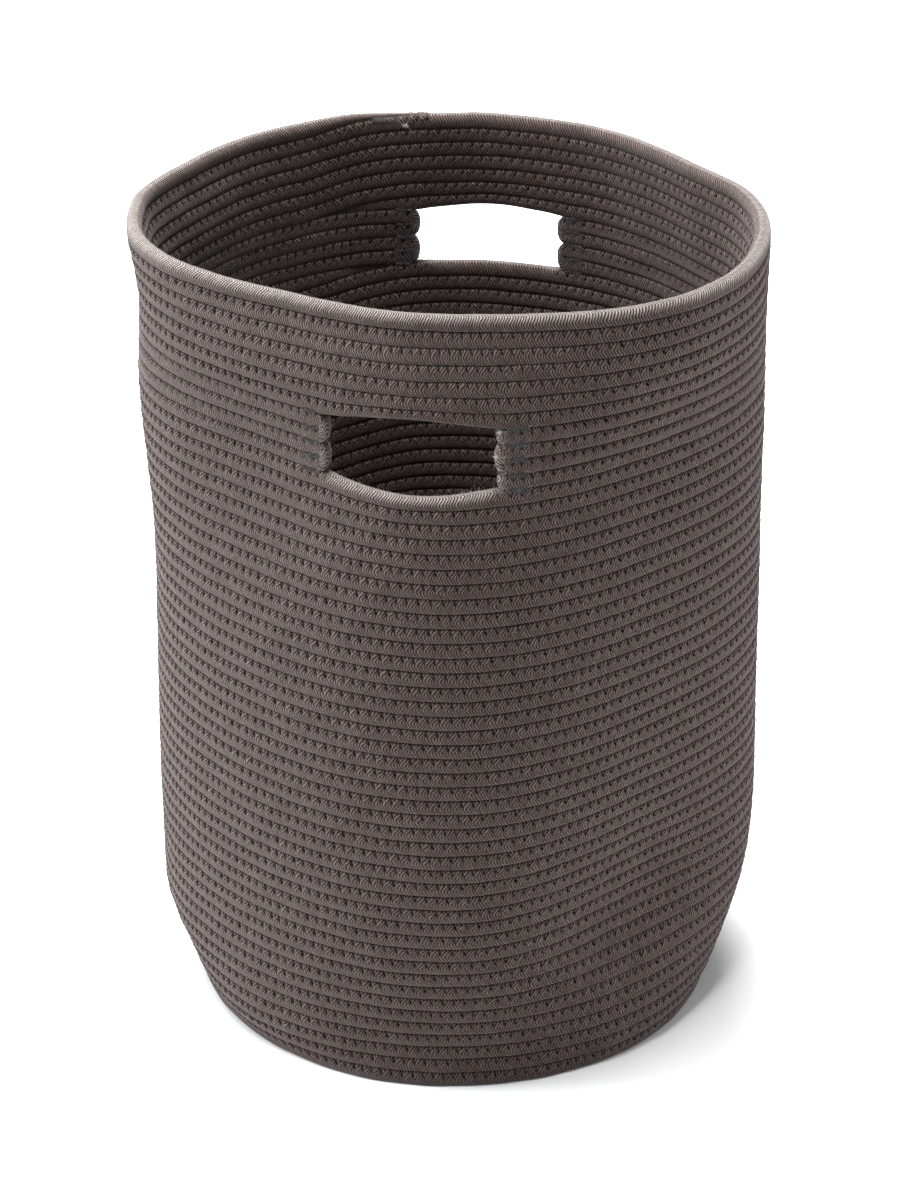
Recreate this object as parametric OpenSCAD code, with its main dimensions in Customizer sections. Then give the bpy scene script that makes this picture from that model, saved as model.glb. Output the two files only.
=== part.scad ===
// Coiled cotton-rope laundry hamper: a soft, open basket sewn from courses of rope, with two hand slots.
// +Z is up, the floor is z = 0, and the front slot is on the -Y side. Millimetres.

/* [Basket] */
// Height of the wall, floor to rim
basket_h = 500; // [420:5:600]
// Scale of the plan, in percent of the hand-shaped sections below
plan_percent = 100; // [80:1:125]
// Rope courses in the wall, floor to rim
courses = 54; // [50:1:58]
// Thickness of the rope wall
wall_t = 9.5; // [7:0.5:12]

/* [Hand slots] */
// Clear width of the front slot, measured round the wall
front_slot_w = 105; // [75:1:130]
// Clear width of the rear slot, measured round the wall
rear_slot_w = 92; // [75:1:130]
// Direction of the front slot's middle, in degrees from +X
front_slot_deg = -98; // [-110:1:-70]
// Direction of the rear slot's middle, in degrees from +X
rear_slot_deg = 81.5; // [70:0.5:110]
// Rope courses above each slot
courses_above = 7; // [5:1:9]
// Rope courses that each slot takes out of the wall
courses_open = 4; // [4:2:6]
// How far the middle of the front slot's upper edge is pulled up
front_arch = 5.5; // [0:0.5:8]
// How far the middle of the rear slot's upper edge is pulled up
rear_arch = 3; // [0:0.5:8]
// How far the middle of the front slot's lower edge sags
front_sag = 4; // [0:0.5:8]
// How far the rope's turns stand out at the slots' ends
turn_depth = 6; // [3:0.5:9]

/* [Stitching] */
// Length of a bar tack
tack_l = 13; // [8:1:18]
// Distance of a bar tack from the slot's end
tack_inset = 5.5; // [1:0.5:8]
// Height of a bar tack
tack_h = 3.2; // [2:0.1:5]
// How far a tack's threads stand off the rope
tack_t = 1.2; // [0.6:0.1:2]
// Length of the tack over the rope's end at the rim
rim_tack_l = 26; // [15:1:40]
// Direction of the rope's end at the rim, in degrees from +X
rope_end_deg = 101; // [92:1:120]

/* [Hidden] */

rope_color = [0.42, 0.38, 0.36];
inner_rope_color = [0.33, 0.30, 0.28];
tack_color = [0.30, 0.34, 0.38];

pitch = basket_h / courses;
slot_top = basket_h - courses_above * pitch;
slot_bottom = slot_top - courses_open * pitch;
// Clearance that keeps touching solids from sharing space
gap = 0.1;
// Directions round the wall
around = 60;

// The wall's outer face, as plan sections of the soft, slightly slumped body. Each row holds the height
// in percent of basket_h, then the reach in mm to the left, right, front and rear, and then how far each
// corner stands out beyond an oval: front left, front right, rear left and rear right.
SECTIONS = [
    [0, 157, 163, 178, 157, -4, 2, 0, 0],
    [4, 162, 172, 176, 164, 5, 3, 0, 0],
    [10, 177, 184, 181, 175, -3, -8, 0, 0],
    [18, 180, 192, 187, 187, -7, -26, 0, 0],
    [36, 181, 193, 190, 184, -8, -19, 0, 0],
    [60, 181, 193, 186, 187, -11, -13, 0, 0],
    [80, 188, 193, 177, 190, -24, -12, 0, -2],
    [92, 187, 193, 166, 189, -12, 5, 0, -6],
    [100, 194, 194, 153, 187, -18, 12, 2, -11],
];

// Soft folds of the rim, which fade out downwards: direction, half width in degrees, and how far out
FOLDS = [
    [168, 8, 3.5], [147, 9, -2.5], [110, 8, 4], [94, 8, -4],
    [57, 10, 4], [30, 9, -4]
];
// Height in percent where the folds have faded out
fold_from = 70;

// A smooth curve through one column k of the sections, at a height h in percent
last_section = len(SECTIONS) - 1;
function rise(i, k) = (SECTIONS[i + 1][k] - SECTIONS[i][k]) / (SECTIONS[i + 1][0] - SECTIONS[i][0]);
function slope(i, k) =
    i == 0 ? rise(0, k) :
    i == last_section ? rise(last_section - 1, k) :
    (rise(i - 1, k) + rise(i, k)) / 2;
function section_under(h) = max([for (i = [0 : last_section - 1]) if (SECTIONS[i][0] <= h || i == 0) i]);
function column(k, h) =
    let (
        i = section_under(h),
        span = SECTIONS[i + 1][0] - SECTIONS[i][0],
        t = (h - SECTIONS[i][0]) / span
    )
    (2 * t ^ 3 - 3 * t ^ 2 + 1) * SECTIONS[i][k]
    + (t ^ 3 - 2 * t ^ 2 + t) * span * slope(i, k)
    + (3 * t ^ 2 - 2 * t ^ 3) * SECTIONS[i + 1][k]
    + (t ^ 3 - t ^ 2) * span * slope(i + 1, k);
function fold_share(h) = let (t = max(0, (h - fold_from) / (100 - fold_from))) t ^ 2 * (3 - 2 * t);
function section_at(z) =
    let (h = 100 * z / basket_h)
        [for (k = [1 : 8]) plan_percent / 100 * column(k, h), fold_share(h)];

// Reach of a section in direction a: an oval with its own half-axis on each side, its corners and folds
function away(a, b) = abs((a - b + 540) % 360 - 180);
function fold(a) = [for (f = FOLDS) f[2] * exp(-(away(a, f[0]) / f[1]) ^ 2)] * [for (f = FOLDS) 1];
function reach(section, a) =
    let (
        side = cos(a) > 0 ? section[1] : section[0],
        face = sin(a) > 0 ? section[3] : section[2],
        corner = section[sin(a) > 0 ? (cos(a) > 0 ? 7 : 6) : (cos(a) > 0 ? 5 : 4)]
    )
    side * cos(a) ^ 2 + face * sin(a) ^ 2 + corner * sin(2 * a) ^ 2 + section[8] * fold(a);

// How far the courses next to a slot are pulled up or down in direction a at height z, over three courses
function bow(a, middle, half_deg, height) =
    let (t = away(a, middle) / half_deg)
        t < 1 ? height * (1 - t ^ 2) ^ 1.4 : 0;
function fading(courses) = max(0, 1 - courses / 3) ^ 2;
function lift(a, z) =
    z > slot_top - pitch / 100 ?
        fading((z - slot_top) / pitch) * (
            bow(a, front_slot_deg, front_half_deg, front_arch)
            + bow(a, rear_slot_deg, rear_half_deg, rear_arch)
        ) :
    z < slot_bottom + pitch / 100 ?
        -fading((slot_bottom - z) / pitch) * bow(a, front_slot_deg, front_half_deg, front_sag) :
    0;

// Points of a closed cross-section, given as [height, depth behind the outer face], in direction a
function profile_points(profile, sections, a) = [
    for (i = [0 : len(profile) - 1])
        let (r = reach(sections[i], a) - profile[i][1])
            [r * cos(a), r * sin(a), profile[i][0] + lift(a, profile[i][0])]
];
function sections_of(profile) = [for (p = profile) section_at(p[0])];

// Triangles between two neighbouring cross-sections of n points, whose first points are p and q
function strip(p, q, n) = [
    for (j = [0 : n - 1], half = [0, 1])
        let (next = (j + 1) % n)
            half == 0 ? [p + j, p + next, q + next] : [p + j, q + next, q + j]
];

// A ring of one cross-section, all the way round the wall
module wall_ring(profile) {
    n = len(profile);
    sections = sections_of(profile);
    points = [for (i = [0 : around - 1]) each profile_points(profile, sections, 360 * i / around)];
    faces = [for (i = [0 : around - 1]) each strip(n * i, n * ((i + 1) % around), n)];
    polyhedron(points, faces, convexity = 4);
}

// Rows of a wall from one course to another, every course near the floor and every second one above
function course_rows(from, to) =
    [for (k = [from : to]) if (k <= 6 || k == to || (k - from) % 2 == 0) k * pitch];
function reversed(list) = [for (i = [len(list) - 1 : -1 : 0]) list[i]];

// A flat pad that follows the wall between two directions, from one depth to another, with ends that
// round off over end_l
end_angles = [20, 45, 70, 90];
function degrees_of(length, a, z) = length / (reach(section_at(z), a) * PI / 180);
module wall_pad(from, to, z, half_h, end_l, depth, thickness, steps) {
    end_from = degrees_of(end_l, from, z);
    end_to = degrees_of(end_l, to, z);
    stations = concat(
        [for (e = end_angles) [from + end_from * (1 - cos(e)), half_h * sin(e)]],
        [for (i = [1 : steps - 1]) [from + end_from + (to - end_to - from - end_from) * i / steps, half_h]],
        [for (e = reversed(end_angles)) [to - end_to * (1 - cos(e)), half_h * sin(e)]]
    );
    points = [
        for (s = stations)
            let (profile = [
                [z - s[1], depth], [z + s[1], depth],
                [z + s[1], depth + thickness], [z - s[1], depth + thickness]
            ])
                each profile_points(profile, sections_of(profile), s[0])
    ];
    count = len(stations);
    faces = concat(
        [[3, 2, 1, 0]],
        [for (i = [0 : count - 2]) each strip(4 * i, 4 * (i + 1), 4)],
        [[for (j = [0 : 3]) 4 * (count - 1) + j]]
    );
    polyhedron(points, faces, convexity = 4);
}

// Directions of the four slot ends
front_half_deg = degrees_of(front_slot_w / 2, front_slot_deg, (slot_top + slot_bottom) / 2);
rear_half_deg = degrees_of(rear_slot_w / 2, rear_slot_deg, (slot_top + slot_bottom) / 2);
front_left_end = front_slot_deg - front_half_deg + 360;
front_right_end = front_slot_deg + front_half_deg;
rear_left_end = rear_slot_deg + rear_half_deg;
rear_right_end = rear_slot_deg - rear_half_deg;

// The disc of coiled rope that the basket stands on
module base_coil() {
    floor_section = section_at(0);
    color(rope_color)
        linear_extrude(wall_t)
            polygon([
                for (i = [0 : around - 1])
                    let (a = 360 * i / around, r = reach(floor_section, a) - wall_t - gap)
                        [r * cos(a), r * sin(a)]
            ]);
}

// Courses from the floor to the slots' lower edge, with the first course rounded under the basket
module lower_wall_coil() {
    rows = course_rows(1, courses - courses_above - courses_open);
    color(rope_color)
        wall_ring(concat(
            [[0, 3.5], [1.2, 1.2], [3.5, 0.2]],
            [for (z = rows) [z, 0]],
            [for (z = reversed(rows)) [z, wall_t]],
            [[0, wall_t]]
        ));
}

// Courses above the slots, with the rim's course round on top
module upper_wall_coil() {
    rows = course_rows(courses - courses_above, courses - 1);
    round_r = wall_t / 2;
    crown = [for (e = [0 : 30 : 180]) [basket_h - round_r + round_r * sin(e), round_r - round_r * cos(e)]];
    color(inner_rope_color)
        wall_ring(concat([for (z = rows) [z, 0]], crown, [for (z = reversed(rows)) [z, wall_t]]));
}

// One rope doubled back at both ends, so two courses tall: number 0 is the lower loop, 1 the upper
module panel_loop(from, to, number) {
    loop_h = (slot_top - slot_bottom) / 2;
    color(rope_color)
        wall_pad(from, to, slot_bottom + loop_h * (number + 0.5), loop_h / 2, turn_depth, 0, wall_t, 16);
}

module left_lower_loop() { panel_loop(rear_left_end, front_left_end, 0); }

module left_upper_loop() { panel_loop(rear_left_end, front_left_end, 1); }

// One rope that runs to and fro between the slots. It starts and stops at the front slot, so that end shows
// its two rope ends, one course tall, below and above its turn, while the rear end is all turns. A row
// of turns holds the middle height and the half height of each, in courses above the slots' lower edge.
FRONT_TURNS = [
    [0.5, 0.5],
    each [for (i = [1 : courses_open / 2 - 1]) [2 * i, 1]],
    [courses_open - 0.5, 0.5]
];
REAR_TURNS = [for (i = [1 : courses_open / 2]) [2 * i - 1, 1]];

// How far a row of round turns draws back from its end at height v, in mm
function cut_back(v, turns) =
    turn_depth * min([for (t = turns) if (abs(v - t[0]) <= t[1]) t[1] - sqrt(t[1] ^ 2 - (v - t[0]) ^ 2)]);

module right_panel_coil() {
    steps = 16;
    heights = [for (k = [0 : 6 * courses_open]) k / 6];
    count = len(heights);
    sections = [for (v = heights) section_at(slot_bottom + v * pitch)];
    mm = degrees_of(1, rear_right_end, slot_top);
    starts = [for (v = heights) front_right_end + mm * cut_back(v, FRONT_TURNS)];
    stops = [for (v = heights) rear_right_end - mm * cut_back(v, REAR_TURNS)];
    points = [
        for (s = [0 : steps], side = [0, 1], k = [0 : count - 1])
            let (
                j = side == 0 ? k : count - 1 - k,
                a = starts[j] + (stops[j] - starts[j]) * s / steps,
                r = reach(sections[j], a) - side * wall_t
            )
                [r * cos(a), r * sin(a), slot_bottom + heights[j] * pitch]
    ];
    ring = 2 * count;
    last = steps * ring;
    faces = concat(
        [for (k = [0 : count - 2]) [ring - 1 - k, ring - 2 - k, k + 1, k]],
        [for (s = [0 : steps - 1]) each strip(s * ring, (s + 1) * ring, ring)],
        [for (k = [0 : count - 2]) [last + k, last + k + 1, last + ring - 2 - k, last + ring - 1 - k]]
    );
    color(rope_color)
        polyhedron(points, faces, convexity = 4);
}

// Bar tacks at one slot end, one in each seam from the slot's lower edge to its upper edge, on both faces
// of the wall. way is 1 where the panel lies at greater angles than the slot's end, else -1.
module slot_tacks(slot_end, way) {
    color(tack_color)
        for (seam = [0 : courses_open], side = [0, 1]) {
            z = slot_bottom + seam * pitch;
            near = slot_end + way * degrees_of(tack_inset, slot_end, z);
            far = slot_end + way * degrees_of(tack_inset + tack_l, slot_end, z);
            depth = side == 0 ? -tack_t - gap : wall_t + 2 * gap;
            wall_pad(min(near, far), max(near, far), z, tack_h / 2, tack_h / 2, depth, tack_t, 2);
        }
}

module front_left_tacks() { slot_tacks(front_left_end, -1); }

module front_right_tacks() { slot_tacks(front_right_end, 1); }

module rear_left_tacks() { slot_tacks(rear_left_end, 1); }

module rear_right_tacks() { slot_tacks(rear_right_end, -1); }

// The tack that holds the rope's tapered end inside the rim
module rim_tack() {
    z = basket_h - wall_t;
    half_deg = degrees_of(rim_tack_l / 2, rope_end_deg, z);
    color(tack_color)
        wall_pad(
            rope_end_deg - half_deg, rope_end_deg + half_deg, z,
            tack_h / 2, tack_h / 2, wall_t + 2 * gap, tack_t, 4
        );
}

base_coil();
lower_wall_coil();
upper_wall_coil();
left_lower_loop();
left_upper_loop();
right_panel_coil();
front_left_tacks();
front_right_tacks();
rear_left_tacks();
rear_right_tacks();
rim_tack();
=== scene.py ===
"""Looks of the coiled cotton-rope laundry hamper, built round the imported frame. Metres, +Z up."""

import math

import bpy
import numpy as np
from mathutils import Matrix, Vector
from mathutils.bvhtree import BVHTree


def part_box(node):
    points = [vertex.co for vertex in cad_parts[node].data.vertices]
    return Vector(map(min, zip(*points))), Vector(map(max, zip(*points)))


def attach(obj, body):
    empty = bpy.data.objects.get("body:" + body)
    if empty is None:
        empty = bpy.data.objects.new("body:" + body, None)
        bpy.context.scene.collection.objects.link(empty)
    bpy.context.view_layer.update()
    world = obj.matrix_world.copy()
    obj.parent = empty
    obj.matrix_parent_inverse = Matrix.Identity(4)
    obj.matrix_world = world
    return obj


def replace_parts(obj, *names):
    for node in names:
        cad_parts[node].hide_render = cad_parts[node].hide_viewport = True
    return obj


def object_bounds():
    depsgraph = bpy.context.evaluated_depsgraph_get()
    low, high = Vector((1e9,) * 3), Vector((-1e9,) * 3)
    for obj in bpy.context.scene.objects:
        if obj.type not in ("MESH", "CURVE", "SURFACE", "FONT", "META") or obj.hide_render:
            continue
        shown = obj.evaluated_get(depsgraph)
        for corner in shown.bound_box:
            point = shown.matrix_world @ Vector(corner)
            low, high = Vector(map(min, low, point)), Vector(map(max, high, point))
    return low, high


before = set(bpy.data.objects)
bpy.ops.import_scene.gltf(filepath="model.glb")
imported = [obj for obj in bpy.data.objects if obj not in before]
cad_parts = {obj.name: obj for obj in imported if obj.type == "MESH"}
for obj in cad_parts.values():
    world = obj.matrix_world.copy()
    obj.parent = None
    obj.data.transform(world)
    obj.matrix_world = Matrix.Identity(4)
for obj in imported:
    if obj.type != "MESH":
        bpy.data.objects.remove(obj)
CAD_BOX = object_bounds()

TURN = 2 * math.pi
MM = 0.001

# ---- sizes read from the frame

BASKET_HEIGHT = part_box("upper_wall_coil")[1].z
SLOT_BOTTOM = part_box("lower_wall_coil")[1].z
SLOT_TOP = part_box("upper_wall_coil")[0].z
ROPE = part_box("base_coil")[1].z
PITCH = (SLOT_TOP - SLOT_BOTTOM) / 4
LOWER_COURSES = round(SLOT_BOTTOM / PITCH)
UPPER_COURSES = round((BASKET_HEIGHT - SLOT_TOP) / PITCH)

# Spacing of the needle holes along the seams
STITCH = 6.75 * MM
# Height of the needle holes above the middle of a course
HOLE_HEIGHT = 2.25 * MM
# Depths of the sewn relief in millimetres: a needle hole, the thread's pull above it, and a puff
HOLE_DEPTH, PULL_DEPTH, PUFF_HEIGHT = 1.35, 0.6, 0.36
# How far round a needle hole the rope is drawn in
HOLE_WIDTH = 0.9 * MM
# How far one step of its seed moves the stitches of a panel's rope
STITCH_LAG = 1.7 * MM
# Distance between the stations of a rope, on the wall and in the base
STEP = STITCH / 7
BASE_STEP = STITCH / 5
# The stretch at the rear where every course climbs by one, in angles from +X
CLIMB_START = math.radians(122)
CLIMB_END = math.radians(94)
CLIMB = CLIMB_START - CLIMB_END
# A turn of the rope at a slot's end: how far its middle line bends out, and the rope's half width in it
TURN_BEND = 2.8 * MM
TURN_WIDTH = 3.3 * MM
# 1 gives an oval turn, and more gives a flatter one
TURN_BLUNTNESS = 1.08
# The wall's usual distance from the axis, which turns short lengths round the wall into angles
REACH = 0.18
# No point of a rope lies lower than this above the floor
FLOOR_GAP = 0.0002
# Radius in millimetres at which the knit lies round the base's rope
BASE_KNIT_RADIUS = 4.7


def smooth(t):
    t = np.clip(t, 0, 1)
    return t * t * (3 - 2 * t)


def in_steps(values, shares):
    """From each value to the next, the values at those shares of the way."""
    return (values[:-1, None] * (1 - shares) + values[1:, None] * shares).ravel()


def alternate(values, between):
    """The values with one value put between each two neighbours."""
    mixed = np.empty(2 * len(values) - 1)
    mixed[0::2], mixed[1::2] = values, between
    return mixed


def unit(vectors):
    """The vectors at length 1."""
    return vectors / np.maximum(np.linalg.norm(vectors, axis=1), 1e-9)[:, None]


def outwards(angle):
    """Level vectors of length 1 in those directions from the axis."""
    return np.stack([np.cos(angle), np.sin(angle), 0 * angle], -1)


def run_lengths(points):
    """How far along a line of points each of them lies."""
    return np.r_[0, np.cumsum(np.linalg.norm(np.diff(points, axis=0), axis=1))]


class Wall:
    """The wall's outer face, measured on the CAD nodes as a reach in direction angle at height z."""

    def __init__(self):
        columns, courses = 60, LOWER_COURSES + 4 + UPPER_COURSES
        tree = BVHTree.FromPolygons(*self.polygons(["lower_wall_coil", "upper_wall_coil"]))
        rows = [0.5 * PITCH] + [k * PITCH for k in range(1, LOWER_COURSES + 1)]
        rows += [k * PITCH for k in range(courses - UPPER_COURSES, courses)]
        self.rows = np.array(rows)
        self.table = np.zeros((len(rows), columns))
        for i, z in enumerate(rows):
            # just inside the node, where a row lies on its edge
            height = z - 0.02 * MM if z < SLOT_BOTTOM + MM else z + 0.02 * MM
            for j in range(columns):
                angle = TURN * j / columns + 1e-5
                away = Vector((math.cos(angle), math.sin(angle), 0))
                hit = tree.ray_cast(away * 0.5 + Vector((0, 0, height)), -away)[0]
                near = hit is not None and hit.dot(away) > 0
                self.table[i, j] = math.hypot(hit.x, hit.y) if near else math.nan
        for column in self.table.T:
            known = ~np.isnan(column)
            column[:] = np.interp(self.rows, self.rows[known], column[known])
        self.slopes = np.gradient(self.table, self.rows, axis=0)
        mean = self.table[len(rows) // 2]
        self.steps = np.r_[0, np.cumsum((mean + np.roll(mean, -1)) / 2)] * TURN / columns
        self.lap = self.steps[-1]
        self.columns = columns
        self.arch = self.edge_heights("upper_wall_coil", min) - SLOT_TOP
        self.sag = self.edge_heights("lower_wall_coil", max) - SLOT_BOTTOM

    def edge_heights(self, name, pick):
        """The lowest or highest point of a CAD node in each of the table's directions."""
        heights = [[] for _ in range(self.columns)]
        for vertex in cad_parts[name].data.vertices:
            place = math.atan2(vertex.co.y, vertex.co.x) / TURN * self.columns
            if abs(place - round(place)) < 0.1:
                heights[round(place) % self.columns].append(vertex.co.z)
        return np.array([pick(column) for column in heights])

    @staticmethod
    def polygons(names):
        points, faces = [], []
        for name in names:
            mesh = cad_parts[name].data
            faces += [[v + len(points) for v in p.vertices] for p in mesh.polygons]
            points += [v.co.copy() for v in mesh.vertices]
        return points, faces

    def around(self, angle):
        """The four columns of the table round a direction, each with its weight in a smooth curve."""
        x = np.mod(angle / TURN, 1) * self.columns
        j = np.floor(x).astype(int)
        u = x - j
        weights = (-0.5 * u + u**2 - 0.5 * u**3, 1 - 2.5 * u**2 + 1.5 * u**3,
                   0.5 * u + 2 * u**2 - 1.5 * u**3, -0.5 * u**2 + 0.5 * u**3)
        return [((j + k - 1) % self.columns, weight) for k, weight in enumerate(weights)]

    def reach(self, angle, z):
        """Distance of the outer face from the axis."""
        z = np.clip(z, self.rows[0], self.rows[-1])
        i = np.clip(np.searchsorted(self.rows, z, side="right") - 1, 0, len(self.rows) - 2)
        span = self.rows[i + 1] - self.rows[i]
        t = (z - self.rows[i]) / span
        low = high = low_slope = high_slope = 0
        for column, weight in self.around(angle):
            low = low + weight * self.table[i, column]
            high = high + weight * self.table[i + 1, column]
            low_slope = low_slope + weight * self.slopes[i, column]
            high_slope = high_slope + weight * self.slopes[i + 1, column]
        return (
            (2 * t**3 - 3 * t**2 + 1) * low + (t**3 - 2 * t**2 + t) * span * low_slope
            + (3 * t**2 - 2 * t**3) * high + (t**3 - t**2) * span * high_slope
        )

    def lift(self, angle, z):
        """How far the courses by a slot are pulled up or sag; it fades out over three courses."""
        above = np.clip(1 - (z - SLOT_TOP) / (3 * PITCH), 0, 1) ** 2 * (z > SLOT_TOP - 0.3 * PITCH)
        below = np.clip(1 - (SLOT_BOTTOM - z) / (3 * PITCH), 0, 1) ** 2 * (z < SLOT_BOTTOM + 0.3 * PITCH)
        near = self.around(angle)
        arch = sum(weight * self.arch[column] for column, weight in near)
        sag = sum(weight * self.sag[column] for column, weight in near)
        return above * np.maximum(arch, 0) + below * np.minimum(sag, 0)

    def length(self, angle):
        """Distance round the wall from +X, for any number of laps."""
        laps = np.floor(angle / TURN)
        rest = (angle / TURN - laps) * self.columns
        return laps * self.lap + np.interp(rest, np.arange(self.columns + 1), self.steps)

    def point(self, angle, z, depth):
        """The point at depth behind the outer face."""
        r = self.reach(angle, z) - depth
        return np.stack([r * np.cos(angle), r * np.sin(angle), z + 0 * r], -1)


wall = Wall()


def sway(distance, seed, lengths, size):
    """A smooth random wobble of about that size along a rope."""
    rng = np.random.default_rng(seed)
    total = 0
    for length in lengths:
        total = total + np.sin(TURN * distance / length + rng.uniform(0, TURN))
    return size * total / math.sqrt(len(lengths) / 2)


# ---- mesh building

OUTER_HEIGHTS = [-1, -0.965, -0.88, -0.68, -0.38, -0.08, 0.16, 0.32, 0.44, 0.56, 0.68, 0.82, 0.93, 0.98]
INNER_HEIGHTS = [1, 0.95, 0.8, 0.6, 0.45, 0.3, 0.0, -0.45, -0.8, -0.95]
# How square the section is where it is sewn to its neighbour, and on a free edge
SEWN_FULLNESS, FREE_FULLNESS = 4.8, 2.0


def section_shape(free_top=0.0, free_bottom=0.0):
    """The rope's squashed cross-section: how far out and how far up each point lies, in half sizes."""
    ups = np.array(OUTER_HEIGHTS + INNER_HEIGHTS)
    free = np.where(ups > 0, free_top, free_bottom)
    fullness = SEWN_FULLNESS + (FREE_FULLNESS - SEWN_FULLNESS) * free
    outs = (1 - np.abs(ups) ** fullness) ** (1 / fullness)
    return outs * np.where(np.arange(len(ups)) < len(OUTER_HEIGHTS), 1, -1), ups + 0 * outs


def way_round():
    """Distance over the rope's cover from the middle of its outer face to each point of the section."""
    outs, ups = section_shape()
    points = np.stack([outs * ROPE / 2, ups * PITCH / 2], -1)
    half = run_lengths(points)
    lap = half[-1] + np.linalg.norm(points[0] - points[-1])
    start = np.interp(0, ups[:len(OUTER_HEIGHTS)], half[:len(OUTER_HEIGHTS)])
    ahead = np.abs(half - start)
    return np.minimum(ahead, lap - ahead), lap


def make_mesh(name, points, faces, material, attributes=None):
    """A mesh object from an array of points and arrays of faces with the same number of corners."""
    mesh = bpy.data.meshes.new(name)
    groups = faces if isinstance(faces, list) else [faces]
    corners = np.concatenate([g.ravel() for g in groups])
    totals = np.concatenate([np.full(len(g), g.shape[1]) for g in groups])
    mesh.vertices.add(len(points))
    mesh.vertices.foreach_set("co", points.astype(np.float32).ravel())
    mesh.loops.add(len(corners))
    mesh.loops.foreach_set("vertex_index", corners.astype(np.int32))
    mesh.polygons.add(len(totals))
    mesh.polygons.foreach_set("loop_start", np.r_[0, np.cumsum(totals)[:-1]].astype(np.int32))
    mesh.polygons.foreach_set("use_smooth", np.full(len(totals), True))
    for key, values in (attributes or {}).items():
        layer = mesh.attributes.new(key, "FLOAT_VECTOR", "POINT")
        layer.data.foreach_set("vector", values.astype(np.float32).ravel())
    mesh.update(calc_edges=True)
    mesh.validate()
    mesh.materials.append(material)
    piece = bpy.data.objects.new(name, mesh)
    bpy.context.scene.collection.objects.link(piece)
    return piece


def tube_faces(stations, sides, closed):
    """Quads between the rings of a tube."""
    i = np.arange(stations if closed else stations - 1)[:, None]
    j = np.arange(sides)[None, :]
    near, far = i * sides, ((i + 1) % stations) * sides
    k = (j + 1) % sides
    return np.stack([near + j, near + k, far + k, far + j], -1).reshape(-1, 4)


def add_piece(piece, nodes=()):
    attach(piece, "root")
    if nodes:
        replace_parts(piece, *nodes)
    return piece


def pucker(stitches, height):
    """Depth of the sewn relief on a course: needle holes, the thread's pull and the puffs between."""
    across = (np.mod(stitches + 0.5, 1) - 0.5) * STITCH
    number = np.floor(stitches + 0.5)
    force = 0.8 + 0.25 * np.sin(2.4 * number) + 0.15 * np.sin(5.1 * number + 1)
    hole = np.exp(-((across / HOLE_WIDTH) ** 2 + ((height - HOLE_HEIGHT) / HOLE_WIDTH) ** 2))
    above = smooth((height - HOLE_HEIGHT + 0.6 * MM) / (1.5 * MM))
    pull = np.exp(-((across / (1.0 * MM)) ** 2)) * above
    puff = 0.5 * (1 - np.cos(TURN * stitches)) * np.exp(-(((height - 2.8 * MM) / (2.0 * MM)) ** 2))
    return MM * (HOLE_DEPTH * force * hole + PULL_DEPTH * pull - PUFF_HEIGHT * puff)


def stitch_numbers(distance, seed, start=0.0):
    """Number of the stitch at each distance along a rope, where the needle strays from even spacing."""
    return (distance + start) / STITCH + sway(distance, seed + 3, (0.047, 0.083, 0.151), 0.10)


class Strand:
    """Stations along one rope: direction, height, half sizes and the way that is up across the rope."""

    def __init__(self, angle, z, half_height, half_depth, across=None, closed=False):
        self.angle, self.z = angle, z
        self.half_height = half_height + 0 * angle
        self.half_depth = half_depth + 0 * angle
        # in-surface direction across the rope: (round the wall, up)
        self.across = across if across is not None else np.stack([0 * angle, 1 + 0 * angle], -1)
        self.closed = closed


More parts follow.
